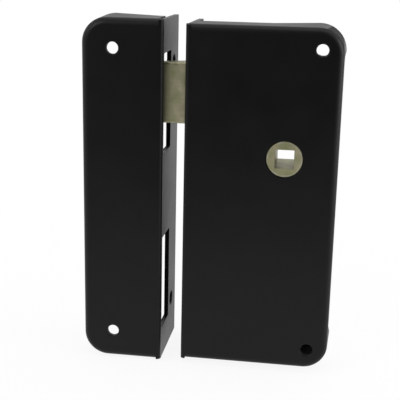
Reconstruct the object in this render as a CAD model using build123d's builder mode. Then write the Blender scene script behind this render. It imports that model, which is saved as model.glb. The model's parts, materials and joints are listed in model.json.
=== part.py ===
from build123d import *
import os
from math import acos, asin, atan2, cos, degrees, hypot, pi, radians, sin, sqrt

os.makedirs("parts", exist_ok=True)

# A latch lock for the face of a gate: a pressed steel case with a square-spindle follower
# and a sprung brass latch bolt, and the pressed keep that takes the bolt on the gate post.
# Frame, in millimetres: X runs from the keep to the case, Y goes from the front into the
# gate, Z is up. The origin is the centre of the case's back face, which lies on the gate.

# Pressed sheet of both pieces
sheet = 2.0
box_depth = 20.0            # front face to the face that lies on the gate or post
flange_depth = 38.0         # front face to the rear edge of the edge flange
press_radius = 3.0          # rounded edge between the front and the folded walls
bend_radius = 1.6           # outside of the sharp fold between front and flange
corner_radius = 11.0        # plan radius of the two drawn corners
corner_flare = 0.7          # drawn corners spread this far at the back
flare_run_end = 20.0        # flare dies out this far from the corner arc, along the end wall
flare_run_side = 3.0        # and this far down the side wall
flange_inset = 0.3          # flange ends stop this far inside the end walls
relief_gap = 0.8            # slit between each end wall and the flange, behind the rounded edge
hole_rim = 0.6              # rounded front rim of the fixing holes

# Case
backset = 43.7              # flange's face to the follower's axis
follower_side = 22.9        # follower's axis to the far wall's outer face
case_height = 152.0
case_hole_radius = 2.6
case_hole_edge = 9.2        # fixing hole centre to the side and end walls' outer faces
edge_hole_radius = 2.4      # screw holes in the flanges
edge_sink_radius = 3.8
sink_angle = 90             # full angle of every countersink
edge_hole_set = 7.0         # their distance behind the gate's face
edge_hole_spacing = 114.0

# Keep
keep_width = 36.0
keep_overhang = 1.6         # keep's ends beyond the case's
keep_gap = 9.5              # flange to flange, as fitted
keep_hole_radius = 2.6
keep_hole_side = 13.8
keep_hole_end = 12.8
slot_length = 43.7
slot_front = 3.0            # front face to the slots' front edge
slot_end = 14.6             # keep's end to the nearer end of each slot
slot_radius = 1.0

# Back plate, its pillars and screws
plate_thick = 1.5
plate_gap = 0.3
pillar_radius = 4.0
pillar_near = 10.0          # flange's face to the first pair of pillars
pillar_far = 21.0           # second pair to the far wall's outer face
pillar_end = 10.0           # pillars to the end walls' outer faces
pillar_bore_depth = 12.0
screw_radius = 2.0
screw_head_radius = 3.4
screw_length = 9.0
screw_slot = 1.0
thread_clearance = 0.05
fixing_clearance = 0.5      # back plate's holes are this much wider than its screws
case_hole_room = 1.4        # and this much wider than the fixing holes in front of them

# Follower
follower_drop = 25.7        # bolt's middle to the follower's axis
hub_radius = 7.7
hub_proud = 0.3
hub_clearance = 0.1
hub_hole_round = 0.6        # rim of the hub's hole in the cover
spindle_square = 8.2        # takes an 8 mm square spindle
edge_chamfer = 0.3          # ends of pins, studs and rod
collar_radius = 12.0
collar_thick = 1.8
arm_root_radius = 9.0
arm_eye_radius = 4.5
shoulder_high = 1.3         # arm's back face to the shoulder on the washer
arm_reach = 21.0
washer_thick = 1.6
washer_overhang = 1.0
running_gap = 0.3
arm_gap = 0.5               # tail to the arm behind it
pin_radius = 2.5
pin_head_radius = 3.8
pin_head_thick = 1.2
pin_past_tail = 0.6
stop_radius = 2.5
rest_stop_reach = 11.0      # along the arm, to where it rests on its first stop
end_stop_reach = 14.0       # and to where it meets the second, beyond the spring's leg

# Latch bolt
bolt_throw = 15.0
bolt_thick = 9.0
bolt_height = 26.5
bolt_drop = 30.0            # case's top to the bolt's middle
bolt_set = 4.5              # bolt's front face behind the case's front
bolt_tip = 1.5
bolt_tip_round = 0.5
bolt_inside = 9.0           # bolt inside the case's flange face at rest
bolt_edge = 0.8
bolt_clearance = 0.3

# Tail, its rivets, the spring rod and the bracket
tail_thick = 3.0
tail_height = 15.0
tail_drop = 12.5            # bolt's middle to the tail's lower edge
tail_seat = 8.4             # tail inside the bolt's fork
tail_end = 4.0              # tail beyond its window
fork_clearance = 0.05
window_clearance = 0.6
rivet_radius = 1.5
rivet_spacing = 7.0
rivet_clearance = 0.03
rivet_sink = 0.1
rivet_head_radius = 2.8
rivet_head_high = 1.2
rivet_head_bevel = 0.6
rod_radius = 1.8
rod_rise = 7.0              # rod's axis above the bolt's middle
rod_seat = 5.0
rod_clearance = 0.08
rod_past_clip = 1.2
clip_radius = 3.6
clip_thick = 0.8
clip_groove = 0.4
clip_play = 0.1
bracket_thick = 1.5
bracket_left = 26.0         # case's flange face to the bracket's first upright
bracket_right = 41.0        # and to its second
bracket_top = 12.5          # bolt's middle to the bracket's top
bracket_room = 1.0          # bracket's uprights stand clear of the cover
bracket_below = 2.5         # first upright below the tail
tail_room = 0.3             # tail in the bracket's slot
spring_clear_radius = 4.2
spring_washer_radius = 4.0
spring_washer_thick = 0.8

# Springs
latch_wire = 0.9
latch_coil = 3.0            # mean radius
latch_turns = 7
latch_bend_radius = 1.2
return_wire = 1.0
return_coil = 9.5
return_spacing = 1.7        # turn to turn
return_bend_radius = 1.5
return_front = 3.4          # case's front face inside to the first turn
post_radius = 1.5
post_reach = 11.0           # follower's axis to the spring's post, along the fixed leg
post_past_leg = 0.5
return_reach = 9.0          # along the arm, to where the spring bears on it
return_full_turns = 2
spring_gap = 0.1
touch_gap = 0.3
stations_per_turn = 2
parallel_limit = 1e-9       # tangents nearer than this to parallel are joined by a straight line
gap_points = 600            # along a wire, to measure its least gap

# Places that follow
front_y = -box_depth
inside_y = front_y + sheet
plate_y = -plate_thick
case_width = backset + follower_side
keep_height = case_height + 2 * keep_overhang
bolt_z = case_height / 2 - bolt_drop
follower_z = bolt_z - follower_drop
case_left = -case_width / 2
case_right = case_width / 2
keep_right = case_left - keep_gap
keep_left = keep_right - keep_width
bolt_front = front_y + bolt_set
bolt_back = bolt_front + bolt_thick
bolt_mid_y = (bolt_front + bolt_back) / 2
bolt_end = case_left + bolt_inside
bolt_tip_x = case_left - bolt_throw
tail_front = bolt_mid_y - tail_thick / 2
tail_back = bolt_mid_y + tail_thick / 2
tail_bottom = bolt_z - tail_drop
tail_top = tail_bottom + tail_height
axis_x = case_left + backset
arm_front = tail_back + arm_gap
shoulder_y = plate_y - washer_thick - 2 * touch_gap
arm_back = shoulder_y - shoulder_high
arm_thick = arm_back - arm_front
half_turn = asin(bolt_throw / 2 / arm_reach)
arm_taper = asin((arm_root_radius - arm_eye_radius) / arm_reach)
pin_x = axis_x - bolt_throw / 2
pin_z = follower_z + arm_reach * cos(half_turn)
pin_high_z = follower_z + arm_reach
rod_z = bolt_z + rod_rise
left_upright = case_left + bracket_left
right_upright = case_left + bracket_right


def beside_arm(reach, gap):
    """Place beside the arm at rest: how far across and up from the follower's axis."""
    aside = (gap + arm_root_radius - reach * sin(arm_taper)) / cos(arm_taper)
    return (reach * sin(half_turn) + aside * cos(half_turn),
            reach * cos(half_turn) - aside * sin(half_turn))


rest_stop_across, rest_stop_up = beside_arm(rest_stop_reach, stop_radius + running_gap)
end_stop_across, end_stop_up = beside_arm(end_stop_reach, stop_radius + running_gap)
stops_at = [(axis_x - rest_stop_across, follower_z + rest_stop_up),
            (axis_x + end_stop_across, follower_z + end_stop_up)]
post_at = (axis_x - post_reach, follower_z - return_coil + return_wire / 2 + touch_gap + post_radius)
bracket_middle = (left_upright + right_upright + bracket_thick) / 2
bracket_rivets_at = [(bracket_middle - rivet_spacing / 2, rod_z),
                     (bracket_middle + rivet_spacing / 2, rod_z)]
tail_rivets_at = [(bolt_end - tail_seat / 2, (tail_bottom + tail_top - rivet_spacing) / 2),
                  (bolt_end - tail_seat / 2, (tail_bottom + tail_top + rivet_spacing) / 2)]
case_holes_at = [(case_right - case_hole_edge, case_height / 2 - case_hole_edge),
                 (case_right - case_hole_edge, case_hole_edge - case_height / 2)]
edge_holes_at = [(edge_hole_set, edge_hole_spacing / 2), (edge_hole_set, -edge_hole_spacing / 2)]
pillars_at = [(x, z) for x in (case_left + pillar_near, case_right - pillar_far)
              for z in (pillar_end - case_height / 2, case_height / 2 - pillar_end)]

print(f"follower turns {2 * degrees(half_turn):.2f} degrees for a throw of {bolt_throw:.1f} mm")


def facing(y, x=0, z=0):
    """Sketch plane across the lock at depth y, as seen from the front."""
    return Plane(origin=(x, y, z), x_dir=(1, 0, 0), z_dir=(0, -1, 0))


def from_behind(y, x=0, z=0):
    """The same plane seen from behind; its second axis points down."""
    return Plane(origin=(x, y, z), x_dir=(1, 0, 0), z_dir=(0, 1, 0))


def side_facing(x, direction=1):
    """Plane across X at x, facing +X or -X; its first axis is Y."""
    return Plane(origin=(x, 0, 0), x_dir=(0, 1, 0), z_dir=(direction, 0, 0))


def corner_strip(width, height, spread, y, side):
    """Strip round one drawn corner at depth y; side is 1 for the top corner, -1 for the bottom.

    Its outside stands proud by spread round the corner and by nothing at its two ends.
    """
    centre_x = width - corner_radius
    centre_z = side * (height / 2 - corner_radius)
    start_x = centre_x - flare_run_end
    end_z = centre_z - side * flare_run_side
    inner = corner_radius - sheet / 2
    with BuildSketch(facing(y)) as strip:
        with BuildLine():
            for radius, end_radius in ((corner_radius + spread, corner_radius), (inner, inner)):
                Line((start_x, centre_z + side * end_radius), (centre_x, centre_z + side * radius))
                CenterArc((centre_x, centre_z), radius, 0, side * 90)
                Line((centre_x + radius, centre_z), (centre_x + end_radius, end_z))
            Line((start_x, centre_z + side * inner), (start_x, centre_z + side * corner_radius))
            Line((centre_x + inner, end_z), (centre_x + corner_radius, end_z))
        make_face()
    return strip.sketch


def pressed_tray(width, height):
    """Front plate with three folded walls and a deep edge flange, whose face is at x = 0."""
    with BuildPart() as cavity:
        with BuildSketch(facing(inside_y)):
            with Locations(((width - sheet) / 2, 0)):
                Rectangle(width - sheet, height - 2 * sheet)
            fillet(vertices().group_by(Axis.X)[-1], corner_radius - sheet)
        extrude(amount=-(box_depth - sheet))
        fillet(faces().sort_by(Axis.Y)[0].edges().sort_by(Axis.X)[1:], press_radius - sheet)

    flares = []
    for side in (1, -1):
        with BuildPart() as flare:
            loft([corner_strip(width, height, 0, front_y + press_radius, side),
                  corner_strip(width, height, corner_flare, 0, side)], ruled=True)
        flares.append(flare.part)

    with BuildPart() as tray:
        with BuildSketch(facing(front_y)):
            with Locations((width / 2, 0)):
                Rectangle(width, height)
            fillet(vertices().group_by(Axis.X)[-1], corner_radius)
        extrude(amount=-box_depth)
        fillet(faces().sort_by(Axis.Y)[0].edges().sort_by(Axis.X)[1:], press_radius)
        add(flares)
        add(cavity.part, mode=Mode.SUBTRACT)
        # Relief between the end walls and the flange
        with BuildSketch(facing(front_y + press_radius)):
            with Locations((0, height / 2), (0, -height / 2)):
                Rectangle(2 * (sheet + relief_gap), 2 * (press_radius + relief_gap))
        extrude(amount=-(box_depth - press_radius), mode=Mode.SUBTRACT)
        with BuildSketch(facing(front_y)):
            with Locations((sheet / 2, 0)):
                Rectangle(sheet, height - 2 * flange_inset)
        extrude(amount=-flange_depth)
        fillet(edges().filter_by(Axis.Z).group_by(Axis.Y)[0].sort_by(Axis.X)[0], bend_radius)
    return tray.part


def biarc_middle(start, start_tangent, end, end_tangent):
    """Point where two arcs meet that join two points along their tangents."""
    chord = end - start
    along = chord.dot(start_tangent + end_tangent)
    spread = 2 * (1 - start_tangent.dot(end_tangent))
    reach = (sqrt(along ** 2 + spread * chord.dot(chord)) - along) / spread
    return (start + end + (start_tangent - end_tangent) * reach) / 2


def helix_stations(origin, first, second, axis, radius, pitch, start_deg, turns):
    """Points and tangents of a helix about axis, as near to half a turn apart as fits."""
    steps = round(turns * stations_per_turn)
    rise = pitch / (2 * pi)
    stations = []
    for step in range(steps + 1):
        turned = 2 * pi * turns * step / steps
        out = first * cos(radians(start_deg) + turned) + second * sin(radians(start_deg) + turned)
        onward = second * cos(radians(start_deg) + turned) - first * sin(radians(start_deg) + turned)
        stations.append((origin + out * radius + axis * (rise * turned),
                         (onward * radius + axis * rise).normalized()))
    return stations


def wound_wire(name, stations, wire):
    """One tube along a straight end, two arcs between each pair of stations and a straight end."""
    first_point, first_tangent = stations[0]
    last_point, last_tangent = stations[-1]
    with BuildPart() as tube:
        with BuildLine() as path:
            Line(first_point - first_tangent * wire, first_point)
            for (start, start_tangent), (end, end_tangent) in zip(stations, stations[1:]):
                if start_tangent.cross(end_tangent).length < parallel_limit:
                    Line(start, end)
                else:
                    middle = biarc_middle(start, start_tangent, end, end_tangent)
                    arc = TangentArc(start, middle, tangent=start_tangent)
                    TangentArc(middle, end, tangent=arc % 1)
            Line(last_point, last_point + last_tangent * wire)
        with BuildSketch(Plane(origin=path.wire() @ 0, z_dir=path.wire() % 0)):
            Circle(wire / 2)
        sweep(path=path.wire())
    print(f"{name}: least gap between its turns {least_gap(path.wire(), wire):.2f} mm")
    return tube.part


def least_gap(path, wire):
    """Smallest space between two turns of a wound wire, measured on points."""
    points = [path @ (step / gap_points) for step in range(gap_points + 1)]
    skip = int(gap_points * wire * pi / path.length) + 1
    return min((points[i] - points[j]).length
               for i in range(gap_points) for j in range(i + skip, gap_points + 1)) - wire


# Case cover
case_tray = pressed_tray(case_width, case_height)
with BuildPart() as case_cover:
    with Locations((case_left, 0, 0)):
        add(case_tray)
    with Locations(facing(front_y)):
        with Locations(*case_holes_at):
            Hole(case_hole_radius, depth=sheet)
    fillet(edges(Select.LAST).group_by(Axis.Y)[0], hole_rim)
    with Locations(facing(front_y, axis_x, follower_z)):
        Hole(hub_radius + hub_clearance, depth=sheet)
    fillet(edges(Select.LAST).group_by(Axis.Y)[0], hub_hole_round)
    with BuildSketch(side_facing(case_left)):
        with Locations((bolt_mid_y, bolt_z)):
            Rectangle(bolt_thick + 2 * bolt_clearance, bolt_height + 2 * bolt_clearance)
    extrude(amount=sheet, mode=Mode.SUBTRACT)
    with Locations(side_facing(case_left, -1)):
        with Locations(*edge_holes_at):
            CounterSinkHole(edge_hole_radius, edge_sink_radius, depth=sheet,
                            counter_sink_angle=sink_angle)
case_cover.part.label = "case_cover"
export_step(case_cover.part, "parts/case_cover.step")

# Keep: the same tray, the other way round, with a slot for the bolt at either end
keep_tray = mirror(pressed_tray(keep_width, keep_height), about=Plane.YZ)
slot_depth = box_depth - slot_front
slot_z = keep_height / 2 - slot_end - slot_length / 2
keep_hole_z = keep_height / 2 - keep_hole_end
with BuildPart() as keep_box:
    with Locations((keep_right, 0, 0)):
        add(keep_tray)
    with Locations(facing(front_y, keep_left + keep_hole_side)):
        with Locations((0, keep_hole_z), (0, -keep_hole_z)):
            Hole(keep_hole_radius, depth=sheet)
    fillet(edges(Select.LAST).group_by(Axis.Y)[0], hole_rim)
    with BuildSketch(side_facing(keep_right)):
        with Locations((-slot_depth / 2, slot_z), (-slot_depth / 2, -slot_z)):
            RectangleRounded(slot_depth, slot_length, slot_radius)
    extrude(amount=-sheet, mode=Mode.SUBTRACT)
    with Locations(side_facing(keep_right)):
        with Locations(*edge_holes_at):
            CounterSinkHole(edge_hole_radius, edge_sink_radius, depth=sheet,
                            counter_sink_angle=sink_angle)
keep_box.part.label = "keep_box"
export_step(keep_box.part, "parts/keep_box.step")

# Back plate
with BuildPart() as back_plate:
    with BuildSketch(facing(plate_y)):
        Rectangle(case_width - 2 * (sheet + plate_gap), case_height - 2 * (sheet + plate_gap))
        fillet(vertices().group_by(Axis.X)[-1], corner_radius - sheet - plate_gap)
    extrude(amount=-plate_thick)
    with Locations(from_behind(0)):
        with Locations(*pillars_at):
            CounterSinkHole(screw_radius + fixing_clearance, screw_head_radius + thread_clearance,
                            depth=plate_thick, counter_sink_angle=sink_angle)
    with Locations(facing(plate_y)):
        with Locations(*case_holes_at):
            Hole(case_hole_radius + case_hole_room, depth=plate_thick)
        with Locations(*bracket_rivets_at, *stops_at, post_at):
            Hole(rivet_radius + rivet_clearance, depth=plate_thick)
    with Locations(facing(plate_y, axis_x, follower_z)):
        Hole(hub_radius + hub_clearance, depth=plate_thick)
back_plate.part.label = "back_plate"
export_step(back_plate.part, "parts/back_plate.step")

# Pillars that carry the back plate
with BuildPart() as cover_pillars:
    with Locations(facing(inside_y)):
        with Locations(*pillars_at):
            Cylinder(pillar_radius, plate_y - inside_y, align=(Align.CENTER, Align.CENTER, Align.MAX))
    with Locations(from_behind(plate_y)):
        with Locations(*pillars_at):
            Hole(screw_radius + thread_clearance, depth=pillar_bore_depth)
cover_pillars.part.label = "cover_pillars"
export_step(cover_pillars.part, "parts/cover_pillars.step")

# Countersunk screws of the back plate
with BuildPart() as plate_screw:
    with BuildSketch(Plane.XZ):
        with BuildLine():
            Polyline((0, 0), (screw_head_radius, 0), (screw_radius, screw_radius - screw_head_radius),
                     (screw_radius, -screw_length), (0, -screw_length), close=True)
        make_face()
    revolve(axis=Axis.Z)
    with BuildSketch(Plane.XY):
        Rectangle(2 * screw_head_radius, screw_slot)
    extrude(amount=-screw_slot, mode=Mode.SUBTRACT)
with BuildPart() as plate_screws:
    with Locations(from_behind(0)):
        with Locations(*pillars_at):
            add(plate_screw.part)
plate_screws.part.label = "plate_screws"
export_step(plate_screws.part, "parts/plate_screws.step")

# Follower: hub and arm in one brass piece, with a square socket right through
with BuildPart() as follower:
    with BuildSketch(Plane(origin=(axis_x, 0, follower_z))):
        with BuildLine():
            Polyline((0, front_y - hub_proud), (hub_radius, front_y - hub_proud),
                     (hub_radius, inside_y + running_gap), (collar_radius, inside_y + running_gap),
                     (collar_radius, inside_y + running_gap + collar_thick),
                     (hub_radius, inside_y + running_gap + collar_thick),
                     (hub_radius, arm_front), (arm_root_radius, arm_front),
                     (arm_root_radius, shoulder_y), (hub_radius, shoulder_y), (hub_radius, 0), (0, 0),
                     close=True)
        make_face()
    revolve(axis=Axis((axis_x, 0, follower_z), (0, 1, 0)))
    with BuildSketch(facing(arm_front, axis_x, follower_z)):
        Circle(arm_root_radius)
        with Locations((pin_x - axis_x, pin_z - follower_z)):
            Circle(arm_eye_radius)
        make_hull()
    extrude(amount=-arm_thick)
    with Locations(facing(arm_front, pin_x, pin_z)):
        Hole(pin_radius + rivet_clearance, depth=arm_thick)
    with BuildSketch(facing(front_y - hub_proud, axis_x, follower_z)):
        Rectangle(spindle_square, spindle_square)
    extrude(amount=-(box_depth + hub_proud), mode=Mode.SUBTRACT)
follower.part.label = "follower"
export_step(follower.part, "parts/follower.step")

# Washer between the follower's shoulder and the back plate
with BuildPart() as follower_washer:
    with BuildSketch(facing(plate_y - touch_gap - washer_thick, axis_x, follower_z)):
        Circle(arm_root_radius + washer_overhang)
        Circle(hub_radius + hub_clearance, mode=Mode.SUBTRACT)
    extrude(amount=-washer_thick)
follower_washer.part.label = "follower_washer"
export_step(follower_washer.part, "parts/follower_washer.step")

# Pin in the arm's eye, which draws the tail
with BuildPart() as drive_pin:
    with BuildSketch(facing(tail_front - pin_past_tail, pin_x, pin_z)):
        Circle(pin_radius)
    extrude(amount=-(arm_back - tail_front + pin_past_tail))
    with BuildSketch(facing(arm_back, pin_x, pin_z)):
        Circle(pin_head_radius)
    extrude(amount=-pin_head_thick)
    chamfer(edges().group_by(Axis.Y)[0], edge_chamfer)
    chamfer(edges().group_by(Axis.Y)[-1], edge_chamfer)
drive_pin.part.label = "drive_pin"
export_step(drive_pin.part, "parts/drive_pin.step")

# Studs riveted in the back plate: two stops for the arm and the return spring's post
with BuildPart() as follower_stops:
    with Locations(from_behind(0)):
        with Locations(*[(x, -z) for x, z in stops_at]):
            Cylinder(rivet_radius, plate_thick, align=(Align.CENTER, Align.CENTER, Align.MAX))
    with Locations(from_behind(plate_y)):
        with Locations(*[(x, -z) for x, z in stops_at]):
            Cylinder(stop_radius, plate_y - arm_front, align=(Align.CENTER, Align.CENTER, Align.MAX))
    chamfer(edges().group_by(Axis.Y)[0], edge_chamfer)
follower_stops.part.label = "follower_stops"
export_step(follower_stops.part, "parts/follower_stops.step")

post_front = inside_y + return_front - return_wire / 2 - post_past_leg
with BuildPart() as spring_post:
    with BuildSketch(facing(post_front, *post_at)):
        Circle(post_radius)
    extrude(amount=post_front)
spring_post.part.label = "spring_post"
export_step(spring_post.part, "parts/spring_post.step")

# Latch bolt: brass, bevelled on its back and forked for the tail
with BuildPart() as latch_bolt:
    with BuildSketch(Plane.XY.offset(bolt_z - bolt_height / 2)):
        with BuildLine():
            Polyline((bolt_tip_x, bolt_front), (bolt_end, bolt_front), (bolt_end, bolt_back),
                     (case_left, bolt_back), (bolt_tip_x, bolt_front + bolt_tip), close=True)
        make_face()
    extrude(amount=bolt_height)
    fillet(edges().filter_by(Axis.X), bolt_edge)
    fillet(edges().filter_by(Axis.Z).group_by(Axis.X)[0], bolt_tip_round)
    with BuildSketch(side_facing(bolt_end)):
        with Locations((bolt_mid_y, tail_top + fork_clearance)):
            Rectangle(tail_thick + 2 * fork_clearance, bolt_height, align=(Align.CENTER, Align.MAX))
    extrude(amount=-(tail_seat + fork_clearance), mode=Mode.SUBTRACT)
    with Locations(side_facing(bolt_end)):
        with Locations((bolt_mid_y, rod_z)):
            Hole(rod_radius + rivet_clearance, depth=rod_seat)
    with Locations(facing(bolt_front)):
        with Locations(*tail_rivets_at):
            Hole(rivet_radius + rivet_clearance, depth=bolt_thick)
latch_bolt.part.label = "latch_bolt"
export_step(latch_bolt.part, "parts/latch_bolt.step")

# Tail: a steel strip whose window lets the bolt slam home without turning the follower
window_left = pin_x - pin_radius - bolt_throw - window_clearance
window_right = pin_x + pin_radius + touch_gap
window_bottom = pin_z - pin_radius - window_clearance
window_top = pin_high_z + pin_radius + window_clearance
tail_left = bolt_end - tail_seat
tail_right = window_right + tail_end
with BuildPart() as latch_tail:
    with BuildSketch(facing(tail_front)):
        with Locations(((tail_left + tail_right) / 2, (tail_bottom + tail_top) / 2)):
            Rectangle(tail_right - tail_left, tail_height)
        fillet(vertices().group_by(Axis.X)[-1], tail_end / 2)
        with Locations(((window_left + window_right) / 2, (window_bottom + window_top) / 2)):
            RectangleRounded(window_right - window_left, window_top - window_bottom, slot_radius,
                             mode=Mode.SUBTRACT)
    extrude(amount=-tail_thick)
    with Locations(facing(tail_front)):
        with Locations(*tail_rivets_at):
            Hole(rivet_radius + rivet_clearance, depth=tail_thick)
latch_tail.part.label = "latch_tail"
export_step(latch_tail.part, "parts/latch_tail.step")

# Rivets through the bolt's fork and the tail
with BuildPart() as tail_rivets:
    with BuildSketch(facing(bolt_front + rivet_sink)):
        with Locations(*tail_rivets_at):
            Circle(rivet_radius)
    extrude(amount=-(bolt_thick - 2 * rivet_sink))
tail_rivets.part.label = "tail_rivets"
export_step(tail_rivets.part, "parts/tail_rivets.step")

# Rod that carries the latch spring, its clip and washer
clip_x = right_upright + bracket_thick + clip_play
rod_end = clip_x + clip_thick + rod_past_clip
with BuildPart() as spring_rod:
    with BuildSketch(side_facing(bolt_end - rod_seat)):
        with Locations((bolt_mid_y, rod_z)):
            Circle(rod_radius)
    extrude(amount=rod_end - bolt_end + rod_seat)
    with BuildSketch(side_facing(clip_x)):
        with Locations((bolt_mid_y, rod_z)):
            Circle(rod_radius)
            Circle(rod_radius - clip_groove, mode=Mode.SUBTRACT)
    extrude(amount=clip_thick, mode=Mode.SUBTRACT)
    chamfer(edges().group_by(Axis.X)[-1], edge_chamfer)
spring_rod.part.label = "spring_rod"
export_step(spring_rod.part, "parts/spring_rod.step")

with BuildPart() as rod_clip:
    with BuildSketch(side_facing(clip_x + rivet_clearance)):
        with Locations((bolt_mid_y, rod_z)):
            Circle(clip_radius)
            Circle(rod_radius - clip_groove + rivet_clearance, mode=Mode.SUBTRACT)
            Rectangle(rod_radius, 2 * clip_radius, align=(Align.CENTER, Align.MAX), mode=Mode.SUBTRACT)
    extrude(amount=clip_thick - 2 * rivet_clearance)
rod_clip.part.label = "rod_clip"
export_step(rod_clip.part, "parts/rod_clip.step")

with BuildPart() as spring_washer:
    with BuildSketch(side_facing(right_upright - spring_washer_thick)):
        with Locations((bolt_mid_y, rod_z)):
            Circle(spring_washer_radius)
            Circle(rod_radius + running_gap, mode=Mode.SUBTRACT)
    extrude(amount=spring_washer_thick)
spring_washer.part.label = "spring_washer"
export_step(spring_washer.part, "parts/spring_washer.step")

# Guide bracket: two uprights on one foot; the first guides the tail, the second the rod
bracket_front = inside_y + bracket_room
foot_bottom = tail_top + tail_room
bracket_top_z = bolt_z + bracket_top
with BuildPart() as guide_bracket:
    with BuildSketch(Plane.XY.offset(foot_bottom)):
        with BuildLine():
            Polyline((left_upright, bracket_front), (left_upright, plate_y),
                     (right_upright + bracket_thick, plate_y), (right_upright + bracket_thick, bracket_front),
                     (right_upright, bracket_front), (right_upright, plate_y - bracket_thick),
                     (left_upright + bracket_thick, plate_y - bracket_thick),
                     (left_upright + bracket_thick, bracket_front), close=True)
        make_face()
    extrude(amount=bracket_top_z - foot_bottom)
    fillet(edges().filter_by(Axis.Z).group_by(Axis.Y)[-1], bracket_thick)
    with BuildSketch(side_facing(left_upright)):
        with Locations(((bracket_front + plate_y) / 2, foot_bottom)):
            Rectangle(plate_y - bracket_front - 2 * tail_room, foot_bottom - tail_bottom + bracket_below,
                      align=(Align.CENTER, Align.MAX))
    extrude(amount=bracket_thick)
    with BuildSketch(side_facing(left_upright)):
        with Locations((bolt_mid_y, tail_bottom - tail_room)):
            Rectangle(tail_thick + 2 * tail_room, rod_z - tail_bottom + tail_room,
                      align=(Align.CENTER, Align.MIN))
        with Locations((bolt_mid_y, rod_z)):
            Circle(spring_clear_radius)
    extrude(amount=bracket_thick, mode=Mode.SUBTRACT)
    with Locations(side_facing(right_upright + bracket_thick)):
        with Locations((bolt_mid_y, rod_z)):
            Hole(rod_radius + rod_clearance, depth=bracket_thick)
    with Locations(facing(plate_y - bracket_thick)):
        with Locations(*bracket_rivets_at):
            Hole(rivet_radius + rivet_clearance, depth=bracket_thick)
guide_bracket.part.label = "guide_bracket"
export_step(guide_bracket.part, "parts/guide_bracket.step")

with BuildPart() as bracket_rivets:
    with BuildSketch(facing(plate_y - bracket_thick)):
        with Locations(*bracket_rivets_at):
            Circle(rivet_radius)
    extrude(amount=-(plate_thick + bracket_thick))
    with BuildSketch(facing(plate_y - bracket_thick)):
        with Locations(*bracket_rivets_at):
            Circle(rivet_head_radius)
    extrude(amount=rivet_head_high)
    chamfer(edges().group_by(Axis.Y)[0], rivet_head_bevel)
bracket_rivets.part.label = "bracket_rivets"
export_step(bracket_rivets.part, "parts/bracket_rivets.step")

# Latch spring: pushes the bolt out; it works between the bolt's end and the bracket's washer
X, Y, Z = Vector(1, 0, 0), Vector(0, 1, 0), Vector(0, 0, 1)
spring_from = bolt_end + spring_gap
spring_to = right_upright - spring_washer_thick - spring_gap
end_run = latch_wire + latch_bend_radius
latch_spacing = (spring_to - spring_from - 2 * end_run) / latch_turns
coil = helix_stations(Vector(spring_from + end_run, bolt_mid_y, rod_z), Y, Z, X,
                      latch_coil, latch_spacing, 0, latch_turns)
lead_in = coil[0][0] - (Z + X) * latch_bend_radius
lead_out = coil[-1][0] + (Z + X) * latch_bend_radius
with BuildPart() as latch_spring:
    add(wound_wire("latch spring", [(lead_in, X)] + coil + [(lead_out, X)], latch_wire))
latch_spring.part.label = "latch_spring"
export_step(latch_spring.part, "parts/latch_spring.step")

# Return spring: wound round the hub, from its post to the right-hand side of the arm
touch_across, touch_up = beside_arm(return_reach, return_wire / 2 + touch_gap)
touch_x = touch_across - 2 * return_reach * sin(half_turn)
touch_z = touch_up + 2 * (return_reach * cos(half_turn) - touch_up)
touch_radius = hypot(touch_x, touch_z)
leave_deg = degrees(atan2(touch_z, touch_x) - acos(return_coil / touch_radius))
leg = sqrt(touch_radius ** 2 - return_coil ** 2)
return_start = 270
return_turns = return_full_turns + (leave_deg + 360 - return_start) / 360
coil = helix_stations(Vector(axis_x, inside_y + return_front, follower_z), X, Z, Y,
                      return_coil, return_spacing, return_start, return_turns)
fixed_end = (coil[0][0] - coil[0][1] * (post_reach + post_radius), coil[0][1])
bend_start = (coil[-1][0] + coil[-1][1] * (leg - return_bend_radius), coil[-1][1])
bend_end = (bend_start[0] + coil[-1][1] * return_bend_radius + Y * return_bend_radius, Y)
leg_end = (Vector(bend_end[0].X, arm_back - return_wire, bend_end[0].Z), Y)
with BuildPart() as return_spring:
    add(wound_wire("return spring", [fixed_end] + coil + [bend_start, bend_end, leg_end], return_wire))
return_spring.part.label = "return_spring"
export_step(return_spring.part, "parts/return_spring.step")
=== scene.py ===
import json
from math import cos, radians, sin

import bpy
from mathutils import Matrix, Vector


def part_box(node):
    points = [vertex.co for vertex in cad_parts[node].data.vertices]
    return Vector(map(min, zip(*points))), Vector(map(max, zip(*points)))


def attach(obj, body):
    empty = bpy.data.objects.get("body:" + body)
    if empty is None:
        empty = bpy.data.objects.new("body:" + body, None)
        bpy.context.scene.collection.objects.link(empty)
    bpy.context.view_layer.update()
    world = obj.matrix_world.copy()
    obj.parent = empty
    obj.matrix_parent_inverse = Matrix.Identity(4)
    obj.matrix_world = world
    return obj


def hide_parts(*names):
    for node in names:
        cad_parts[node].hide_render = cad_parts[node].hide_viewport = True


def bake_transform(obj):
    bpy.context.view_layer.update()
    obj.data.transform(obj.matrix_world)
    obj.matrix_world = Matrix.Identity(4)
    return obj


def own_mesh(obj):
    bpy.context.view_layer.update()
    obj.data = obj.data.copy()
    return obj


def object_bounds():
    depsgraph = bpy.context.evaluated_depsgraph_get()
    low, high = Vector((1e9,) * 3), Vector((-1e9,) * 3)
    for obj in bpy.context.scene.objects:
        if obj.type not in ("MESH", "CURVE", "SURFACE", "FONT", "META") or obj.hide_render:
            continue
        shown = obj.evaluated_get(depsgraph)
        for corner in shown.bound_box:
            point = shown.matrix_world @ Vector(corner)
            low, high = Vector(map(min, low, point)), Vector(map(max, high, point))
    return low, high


# A black pressed-steel latch lock and its keep, with a brass bolt and follower.
# Metres, in the part's own frame: +X from keep to case, +Y into the gate, +Z up.

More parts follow.
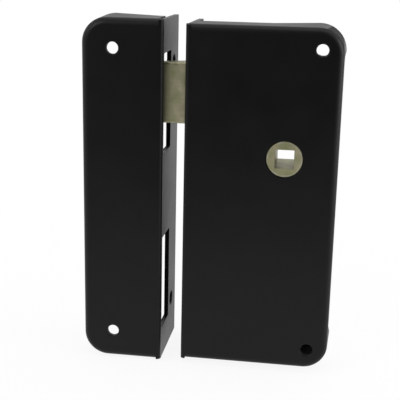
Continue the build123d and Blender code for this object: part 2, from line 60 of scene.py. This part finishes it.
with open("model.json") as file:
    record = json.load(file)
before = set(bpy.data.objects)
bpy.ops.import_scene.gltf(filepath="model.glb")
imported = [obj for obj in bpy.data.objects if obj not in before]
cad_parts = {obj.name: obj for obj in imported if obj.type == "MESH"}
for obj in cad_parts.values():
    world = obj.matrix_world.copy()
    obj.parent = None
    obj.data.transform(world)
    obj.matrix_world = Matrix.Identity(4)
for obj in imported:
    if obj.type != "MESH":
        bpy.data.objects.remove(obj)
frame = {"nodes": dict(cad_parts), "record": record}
nodes = frame["nodes"]
joints = {joint["name"]: joint for joint in frame["record"]["behaviour"]["joints"]}
cad_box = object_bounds()
scene = bpy.context.scene
scene.view_settings.view_transform = "Standard"

IMAGE_SIZE = 400            # pixels, both ways
SENSOR = 36.0               # mm
FOCAL_LENGTH_PX = 909.5
CAMERA_AT = Vector((0.02945, -0.40091, 0.10354))
CAMERA_YAW = 8.23           # degrees, turned left
CAMERA_PITCH = 15.04        # degrees, down
CAMERA_ROLL = 1.25          # degrees
NEAREST_SEEN = 0.01

FLOOR_GAP = 0.0002
FLOOR_REACH = 1.5           # to both sides and behind
FLOOR_FRONT = 0.28          # where the floor ends in front
FLOOR_COLOUR = (0.82, 0.82, 0.82, 1)
FLOOR_ROUGHNESS = 0.9
FLOOR_GLOW = 0.90           # share of plain white that camera and glossy rays see by the object
SHADOW_REACH = 0.14         # from here that share grows to the whole at the floor's front edge

ROOM_FRONT = 0.08           # strengths of the room's light by direction
ROOM_BACK = 0.75
ROOM_RIGHT = 0.60
ROOM_LEFT = 0.50

# Round soft lamps that face the origin: name, place, diameter and watts.
LAMPS = (("overhead", (0.1, -0.1, 1.0), 0.9, 2.2),
         ("right", (0.7, -0.05, 0.2), 0.7, 3.4),
         ("front_left", (-0.7, -0.8, 0.6), 0.5, 4))

RETURN_LEG = 0.00135        # depth of the return spring's fixed leg

PRIMER_DEPTH = 0.0012       # in the 2 mm sheet of the pressings; behind it lie their inner faces
EDGE_REACH = 0.0005         # how far rubbed edges reach
PAINTED_SHADE_REACH = 0.003         # walls nearer than this put painted shade in brass corners
HUB_RADIUS = 0.008          # the hub ends just inside this, and its turned rings fade beyond
HUB_RIM = 0.0068            # radius where its worn rim, which is partly a painted highlight, starts
RIM_FADE = 0.0004
RING_FADE = 0.001
RINGS_PER_METRE = 4000      # of the follower's radius
SOCKET_REACH = 0.00425      # half the follower's square socket and a little more
BOLT_SHADE_REACH = 0.0016           # how far painted shade reaches from the bolt's top, and from its bottom half as far
BOLT_WEAR = 0.12

PAINT_SPECULAR = 0.22
PAINT_DARK = (0.0022, 0.0022, 0.0024)
PAINT_LIGHT = (0.0034, 0.0034, 0.0036)
PAINT_RUBBED = (0.020, 0.019, 0.018, 1)
PRIMER_DARK = (0.007, 0.007, 0.0075)
PRIMER_LIGHT = (0.015, 0.0145, 0.014)
BRASS_GREEN = (0.37, 0.38, 0.20)
BRASS_DULL = (0.44, 0.435, 0.25)
BRASS_WARM = (0.49, 0.455, 0.295)
BRASS_BRIGHT = (0.57, 0.53, 0.355)
# Light worn brass, which is also the painted highlight on the follower's rim.
BRASS_WORN_AND_HIGHLIGHT = (0.60, 0.585, 0.46, 1)
BRASS_SCRATCH = (0.62, 0.62, 0.58, 1)
# Dark brown: a film of dirt on the bolt, and painted shade in brass corners, in the follower's socket and
# along the bolt's top and bottom.
GRIME_AND_PAINTED_SHADE = (0.10, 0.095, 0.07, 1)
PLATE_LIGHT = (0.50, 0.51, 0.50)
PLATE_DARK = (0.33, 0.335, 0.34)
FASTENER_LIGHT = (0.34, 0.32, 0.26)
FASTENER_DARK = (0.16, 0.15, 0.125)
SPRING_DARK = (0.16, 0.16, 0.17)
SPRING_LIGHT = (0.30, 0.30, 0.31)


class Tree:
    """Shorthand for making and joining the nodes of one shader."""

    def __init__(self, owner):
        owner.use_nodes = True
        self.nodes = owner.node_tree.nodes
        self.links = owner.node_tree.links

    def new(self, kind, **inputs):
        node = self.nodes.new("ShaderNode" + kind)
        for name, value in inputs.items():
            self.put(node.inputs[name.replace("_", " ")], value)
        return node

    def put(self, socket, value):
        if isinstance(value, bpy.types.NodeSocket):
            self.links.new(value, socket)
        else:
            socket.default_value = value

    def math(self, operation, first, second=0.0):
        node = self.new("Math")
        node.operation = operation
        self.put(node.inputs[0], first)
        self.put(node.inputs[1], second)
        return node.outputs["Value"]

    def vector_math(self, operation, first, second, output="Vector"):
        node = self.new("VectorMath")
        node.operation = operation
        self.put(node.inputs[0], first)
        self.put(node.inputs[1], second)
        return node.outputs[output]

    def length(self, vector):
        return self.vector_math("LENGTH", vector, (0, 0, 0), "Value")

    def along(self, vector):
        """The vector's X, Y and Z."""
        return self.new("SeparateXYZ", Vector=vector).outputs

    def ranged(self, value, low, high, from_low=0.3, from_high=0.7):
        """The value, from its usual range to low..high, and held there."""
        node = self.new("MapRange", From_Min=from_low, From_Max=from_high, To_Min=low, To_Max=high)
        self.put(node.inputs["Value"], value)
        return node.outputs["Result"]

    def place(self, scale=(1, 1, 1), origin=(0, 0, 0)):
        """Object coordinates, stretched about an origin; all pieces share the part's frame."""
        at = self.new("TexCoord").outputs["Object"]
        return self.vector_math("MULTIPLY", self.vector_math("SUBTRACT", at, origin), scale)

    def noise(self, at, scale, detail=2.0, roughness=0.5):
        node = self.new("TexNoise", Vector=at, Scale=scale, Detail=detail, Roughness=roughness)
        return node.outputs["Fac"]

    def cells(self, at, scale):
        """A grey of its own for each crystal of a zinc coat."""
        cell = self.new("TexVoronoi", Vector=at, Scale=scale).outputs["Color"]
        return self.new("SeparateColor", Color=cell).outputs["Red"]

    def colours(self, value, *stops):
        """The value as a colour, by stops of position and colour."""
        ramp = self.new("ValToRGB", Fac=value)
        elements = ramp.color_ramp.elements
        while len(elements) < len(stops):
            elements.new(0.5)
        for element, (position, colour) in zip(elements, stops):
            element.position = position
            element.color = (*colour, 1)
        return ramp.outputs["Color"]

    def blend(self, kind, factor, first, second):
        node = self.new("Mix")
        node.data_type = "RGBA"
        node.blend_type = kind
        sockets = [socket for socket in node.inputs if socket.enabled]
        for socket, value in zip(sockets, (factor, first, second)):
            self.put(socket, value)
        return next(socket for socket in node.outputs if socket.enabled)

    def bump(self, height, distance, below=None):
        node = self.new("Bump", Height=height, Distance=distance)
        if below is not None:
            self.put(node.inputs["Normal"], below)
        return node.outputs["Normal"]

    def within(self, node, margin):
        """1 inside a node's box, drawn in by a margin."""
        low, high = (Vector(corner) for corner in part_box(node))
        at = self.along(self.place(origin=(low + high) / 2))
        reach = [self.math("LESS_THAN", self.math("ABSOLUTE", at[axis]), half - margin)
                 for axis, half in zip("XYZ", (high - low) / 2)]
        return self.math("MULTIPLY", self.math("MULTIPLY", reach[0], reach[1]), reach[2])

    def edges(self):
        """1 on sharp edges, 0 on flat and gently rounded faces."""
        rounded = self.new("Bevel", Radius=EDGE_REACH).outputs["Normal"]
        true = self.new("NewGeometry").outputs["Normal"]
        likeness = self.vector_math("DOT_PRODUCT", rounded, true, "Value")
        return self.ranged(likeness, 1, 0, from_low=0.75, from_high=0.97)

    def corners(self, reach):
        """1 in the open, falling towards 0 where walls stand close."""
        return self.new("AmbientOcclusion", Distance=reach).outputs["AO"]


def make_camera():
    yaw, pitch, roll = (radians(angle) for angle in (CAMERA_YAW, CAMERA_PITCH, CAMERA_ROLL))
    ahead = Vector((-sin(yaw) * cos(pitch), cos(yaw) * cos(pitch), -sin(pitch)))
    level = Vector((cos(yaw), sin(yaw), 0))
    above = level.cross(ahead)
    right = level * cos(roll) + above * sin(roll)
    up = above * cos(roll) - level * sin(roll)
    data = bpy.data.cameras.new("camera")
    data.sensor_width = SENSOR
    data.lens = FOCAL_LENGTH_PX * SENSOR / IMAGE_SIZE
    data.clip_start = NEAREST_SEEN
    camera = bpy.data.objects.new("camera", data)
    turn = Matrix((right, up, -ahead)).transposed().to_4x4()
    camera.matrix_world = Matrix.Translation(CAMERA_AT) @ turn
    scene.collection.objects.link(camera)
    scene.camera = camera


def new_material(name, metallic=0.0):
    material = bpy.data.materials.new(name)
    tree = Tree(material)
    shader = tree.nodes["Principled BSDF"]
    shader.inputs["Metallic"].default_value = metallic
    return material, tree, shader


def black_paint():
    """Satin black enamel, thin on the sharpest edges, over a dull primer that shows inside."""
    material, tree, shader = new_material("black_paint")
    shader.inputs["Specular IOR Level"].default_value = PAINT_SPECULAR
    at = tree.place()
    cloud = tree.noise(at, scale=60, detail=3)
    paint = tree.colours(cloud, (0.3, PAINT_DARK), (0.7, PAINT_LIGHT))
    inside = tree.math("MAXIMUM", tree.within("case_cover", PRIMER_DEPTH),
                       tree.within("keep_box", PRIMER_DEPTH))
    primer = tree.colours(cloud, (0.35, PRIMER_DARK), (0.65, PRIMER_LIGHT))
    paint = tree.blend("MIX", inside, paint, primer)
    patchy = tree.ranged(tree.noise(at, scale=140, detail=3), 0, 0.5, from_low=0.45, from_high=0.65)
    rubbed = tree.math("MULTIPLY", tree.edges(), patchy)
    tree.put(shader.inputs["Base Color"], tree.blend("MIX", rubbed, paint, PAINT_RUBBED))
    smudges = tree.ranged(tree.noise(at, scale=28, detail=4, roughness=0.65), 0.37, 0.44)
    dull = tree.math("MULTIPLY", inside, 0.85)
    tree.put(shader.inputs["Roughness"], tree.math("MAXIMUM", smudges, dull))
    peel = tree.bump(tree.noise(at, scale=1100), distance=0.00003)
    sway = tree.bump(tree.noise(at, scale=45, detail=1), distance=0.00012, below=peel)
    tree.put(shader.inputs["Normal"], sway)
    return material


def brass(name, details, patches_from):
    """Dull yellow metal. The details are its scratches, its places of dirt and of painted shade, and its
    worn places, some with a painted highlight, from 0 to 1.
    """
    material, tree, shader = new_material(name, metallic=1.0)
    scratches, soil_and_painted_shade, wear_and_highlight = details(tree)
    patches = tree.noise(tree.place(origin=patches_from), scale=150, detail=3, roughness=0.55)
    metal = tree.colours(patches, (0.30, BRASS_GREEN), (0.45, BRASS_DULL), (0.56, BRASS_WARM),
                         (0.70, BRASS_BRIGHT))
    # Wear makes the metal lighter. On the follower's rim this is also a painted highlight.
    metal = tree.blend("MIX", wear_and_highlight, metal, BRASS_WORN_AND_HIGHLIGHT)
    metal = tree.blend("MULTIPLY", scratches, metal, BRASS_SCRATCH)
    # Painted shade: the brass is darker where walls stand close.
    painted_corner_shade = tree.ranged(tree.corners(PAINTED_SHADE_REACH), 0.62, 0.0, from_low=0.15, from_high=0.75)
    metal = tree.blend("MIX", tree.math("MAXIMUM", painted_corner_shade, soil_and_painted_shade), metal, GRIME_AND_PAINTED_SHADE)
    tree.put(shader.inputs["Base Color"], metal)
    tree.put(shader.inputs["Roughness"], tree.ranged(patches, 0.38, 0.50))
    smooth = tree.math("SUBTRACT", 1.0, scratches)
    tree.put(shader.inputs["Normal"], tree.bump(smooth, distance=0.00002))
    return material


def hub_brass():
    """The follower: turned rings and a worn rim with a painted highlight on its faces, and painted shade
    in its socket.
    """
    def details(tree):
        offset = tree.place(scale=(1, 0, 1), origin=joints["follower_turn"]["pos_m"])
        radius = tree.length(offset)
        rings = tree.new("CombineXYZ", X=tree.math("MULTIPLY", radius, RINGS_PER_METRE)).outputs["Vector"]
        drift = tree.vector_math("ADD", rings, tree.place(scale=(60, 60, 60)))
        cuts = tree.noise(drift, scale=1, detail=3, roughness=0.6)
        turned = tree.math("MULTIPLY", tree.ranged(cuts, 0, 0.45, from_low=0.45, from_high=0.70),
                           tree.ranged(radius, 1, 0.1, HUB_RADIUS, HUB_RADIUS + RING_FADE))
        # Worn rim, which is also a painted highlight, broken by noise into segments.
        worn_rim_and_highlight = tree.math("MULTIPLY", tree.ranged(radius, 0, 1, HUB_RIM, HUB_RIM + RIM_FADE),
                        tree.math("LESS_THAN", radius, HUB_RADIUS))
        gaps = tree.noise(tree.place(), scale=330, detail=2)
        worn_rim_and_highlight = tree.math("MULTIPLY", worn_rim_and_highlight, tree.ranged(gaps, 0.05, 0.75, from_low=0.38, from_high=0.62))
        # Painted shade inside the follower's square socket, in patches.
        aside = tree.along(tree.vector_math("ABSOLUTE", offset, offset))
        inside = tree.math("LESS_THAN", tree.math("MAXIMUM", aside["X"], aside["Z"]), SOCKET_REACH)
        film = tree.ranged(tree.noise(tree.place(), scale=260, detail=3), 0.30, 0.48)
        return turned, tree.math("MULTIPLY", inside, film), worn_rim_and_highlight

    return brass("brass_turned", details, patches_from=(0.014, 0, 0.006))


def bolt_brass():
    """The bolt: lines from drawing, small nicks, a faint film of dirt, and painted shade along its top
    and bottom.
    """
    def details(tree):
        lines = tree.noise(tree.place(scale=(30, 30, 1400)), scale=1, detail=3, roughness=0.6)
        drawn = tree.ranged(lines, 0, 0.12, from_low=0.40, from_high=0.65)
        marks = tree.noise(tree.place(scale=(260, 260, 1500), origin=(0.003, 0, 0)), scale=1, detail=1)
        nicks = tree.ranged(marks, 0, 0.8, from_low=0.70, from_high=0.76)
        cloud = tree.noise(tree.place(), scale=45, detail=2)
        film = tree.ranged(cloud, 0, 0.05, from_low=0.55, from_high=0.40)
        low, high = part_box("latch_bolt")
        height = tree.along(tree.place())["Z"]
        # Painted shade along the bolt's top and bottom edges, in blotches.
        painted_edge_shade = tree.math("MAXIMUM", tree.ranged(height, 0, 1, high.z - BOLT_SHADE_REACH, high.z - BOLT_SHADE_REACH / 2),
                         tree.ranged(height, 1, 0, low.z + BOLT_SHADE_REACH / 3, low.z + BOLT_SHADE_REACH / 2))
        blotches = tree.ranged(tree.noise(tree.place(), scale=400, detail=2), 0.05, 0.60)
        soil_and_painted_shade = tree.math("MAXIMUM", film, tree.math("MULTIPLY", painted_edge_shade, blotches))
        return tree.math("MAXIMUM", drawn, nicks), soil_and_painted_shade, BOLT_WEAR

    return brass("brass_drawn", details, patches_from=(0, 0, 0.004))


def zinc_steel(name, light, dark):
    """Bright zinc: fine crystals, handling marks and the sheet's grain."""
    material, tree, shader = new_material(name, metallic=1.0)
    at = tree.place()
    crystals = tree.math("MULTIPLY", tree.cells(at, scale=700), 0.15)
    cloud = tree.math("MULTIPLY", tree.noise(at, scale=90, detail=4, roughness=0.6), 0.85)
    grey = tree.math("ADD", crystals, cloud)
    tree.put(shader.inputs["Base Color"], tree.colours(grey, (0.28, dark), (0.68, light)))
    tree.put(shader.inputs["Roughness"], tree.ranged(grey, 0.44, 0.30))
    grain = tree.noise(tree.place(scale=(1500, 1500, 120)), scale=1)
    tree.put(shader.inputs["Normal"], tree.bump(grain, distance=0.00001))
    return material


def spring_steel():
    """Drawn wire with a fine mottle."""
    material, tree, shader = new_material("spring_steel", metallic=1.0)
    cloud = tree.noise(tree.place(), scale=500, detail=3)
    tree.put(shader.inputs["Base Color"], tree.colours(cloud, (0.3, SPRING_DARK), (0.7, SPRING_LIGHT)))
    tree.put(shader.inputs["Roughness"], tree.ranged(cloud, 0.28, 0.40))
    return material


def dress():
    """A finish for every CAD node: its own, or that of its slot in the record."""
    plate = zinc_steel("zinc_plate", PLATE_LIGHT, PLATE_DARK)
    fastener = zinc_steel("zinc_fastener", FASTENER_LIGHT, FASTENER_DARK)
    finishes = {"black_paint": black_paint(), "brass": hub_brass(), "zinc_steel": plate,
                "spring_steel": spring_steel()}
    own = {"latch_bolt": bolt_brass(), "plate_screws": fastener, "bracket_rivets": fastener,
           "follower_stops": fastener, "spring_post": fastener}
    for part in frame["record"]["subparts"]:
        piece = nodes[part["node"]]
        piece.data.materials.clear()
        piece.data.materials.append(own.get(part["node"], finishes[part["material_slot"]]))


def wind_springs():
    """Springs as pieces of their own: each is a copy of its CAD node's mesh, which is hidden."""
    wound = {}
    for name in ("latch_spring", "return_spring"):
        wound[name] = bpy.data.objects.new(name + "_wound", nodes[name].data.copy())
        scene.collection.objects.link(wound[name])
        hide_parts(name)
    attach(wound["latch_spring"], "lock_case")
    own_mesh(wound["latch_spring"])
    centre = Vector(joints["follower_turn"]["pos_m"])
    centre.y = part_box("return_spring")[0].y + RETURN_LEG
    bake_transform(wound["return_spring"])


def shown_rays(tree, reflected=1.0):
    """1 for camera rays, and the reflected share for glossy and transmission rays."""
    path = tree.new("LightPath").outputs
    mirrored = tree.math("MAXIMUM", path["Is Glossy Ray"], path["Is Transmission Ray"])
    return tree.math("MAXIMUM", path["Is Camera Ray"], tree.math("MULTIPLY", mirrored, reflected))


def make_world():
    """White behind the object, as the photograph shows it, and a darker room in front."""
    world = bpy.data.worlds.new("studio")
    scene.world = world
    tree = Tree(world)
    background = tree.nodes["Background"]
    background.inputs["Color"].default_value = (1, 1, 1, 1)
    towards = tree.along(tree.new("TexCoord").outputs["Generated"])
    room = tree.ranged(towards["Y"], ROOM_FRONT, ROOM_BACK, from_low=-0.8, from_high=0.2)
    right = tree.ranged(towards["X"], 0, ROOM_RIGHT, from_low=0.1, from_high=0.9)
    left = tree.ranged(towards["X"], ROOM_LEFT, 0, from_low=-0.9, from_high=-0.1)
    room = tree.math("ADD", tree.math("ADD", room, right), left)
    behind = tree.math("MULTIPLY", tree.ranged(towards["Y"], 0, 1, from_low=0, from_high=0.3),
                       tree.ranged(towards["Z"], 1, 0, from_low=0.12, from_high=0.36))
    shown = shown_rays(tree, behind)
    hidden = tree.math("MULTIPLY", room, tree.math("SUBTRACT", 1.0, shown))
    tree.put(background.inputs["Strength"], tree.math("ADD", hidden, shown))


def make_floor():
    """A pale floor that takes the object's shadow and grows white towards its edges."""
    low = cad_box[0][2] - FLOOR_GAP
    corners = ((-FLOOR_REACH, -FLOOR_FRONT), (FLOOR_REACH, -FLOOR_FRONT),
               (FLOOR_REACH, FLOOR_REACH), (-FLOOR_REACH, FLOOR_REACH))
    mesh = bpy.data.meshes.new("floor")
    mesh.from_pydata([(x, y, low) for x, y in corners], [], [(0, 1, 2, 3)])
    floor = bpy.data.objects.new("floor", mesh)
    scene.collection.objects.link(floor)
    material, tree, shader = new_material("floor")
    shader.inputs["Base Color"].default_value = FLOOR_COLOUR
    shader.inputs["Roughness"].default_value = FLOOR_ROUGHNESS
    away = tree.length(tree.place(scale=(1, 1, 0)))
    glow = tree.ranged(away, FLOOR_GLOW, 1, SHADOW_REACH, FLOOR_FRONT)
    mix = tree.new("MixShader", Fac=tree.math("MULTIPLY", shown_rays(tree), glow))
    tree.put(mix.inputs[1], shader.outputs["BSDF"])
    tree.put(mix.inputs[2], tree.new("Emission").outputs["Emission"])
    tree.put(tree.nodes["Material Output"].inputs["Surface"], mix.outputs["Shader"])
    mesh.materials.append(material)


def make_lamp(name, at, diameter, watts):
    data = bpy.data.lights.new(name, "AREA")
    data.shape = "DISK"
    data.size = diameter
    data.energy = watts
    light = bpy.data.objects.new(name, data)
    light.location = at
    light.rotation_euler = (-Vector(at)).to_track_quat("-Z", "Y").to_euler()
    scene.collection.objects.link(light)


make_camera()
dress()
wind_springs()
make_world()
make_floor()
for lamp in LAMPS:
    make_lamp(*lamp)
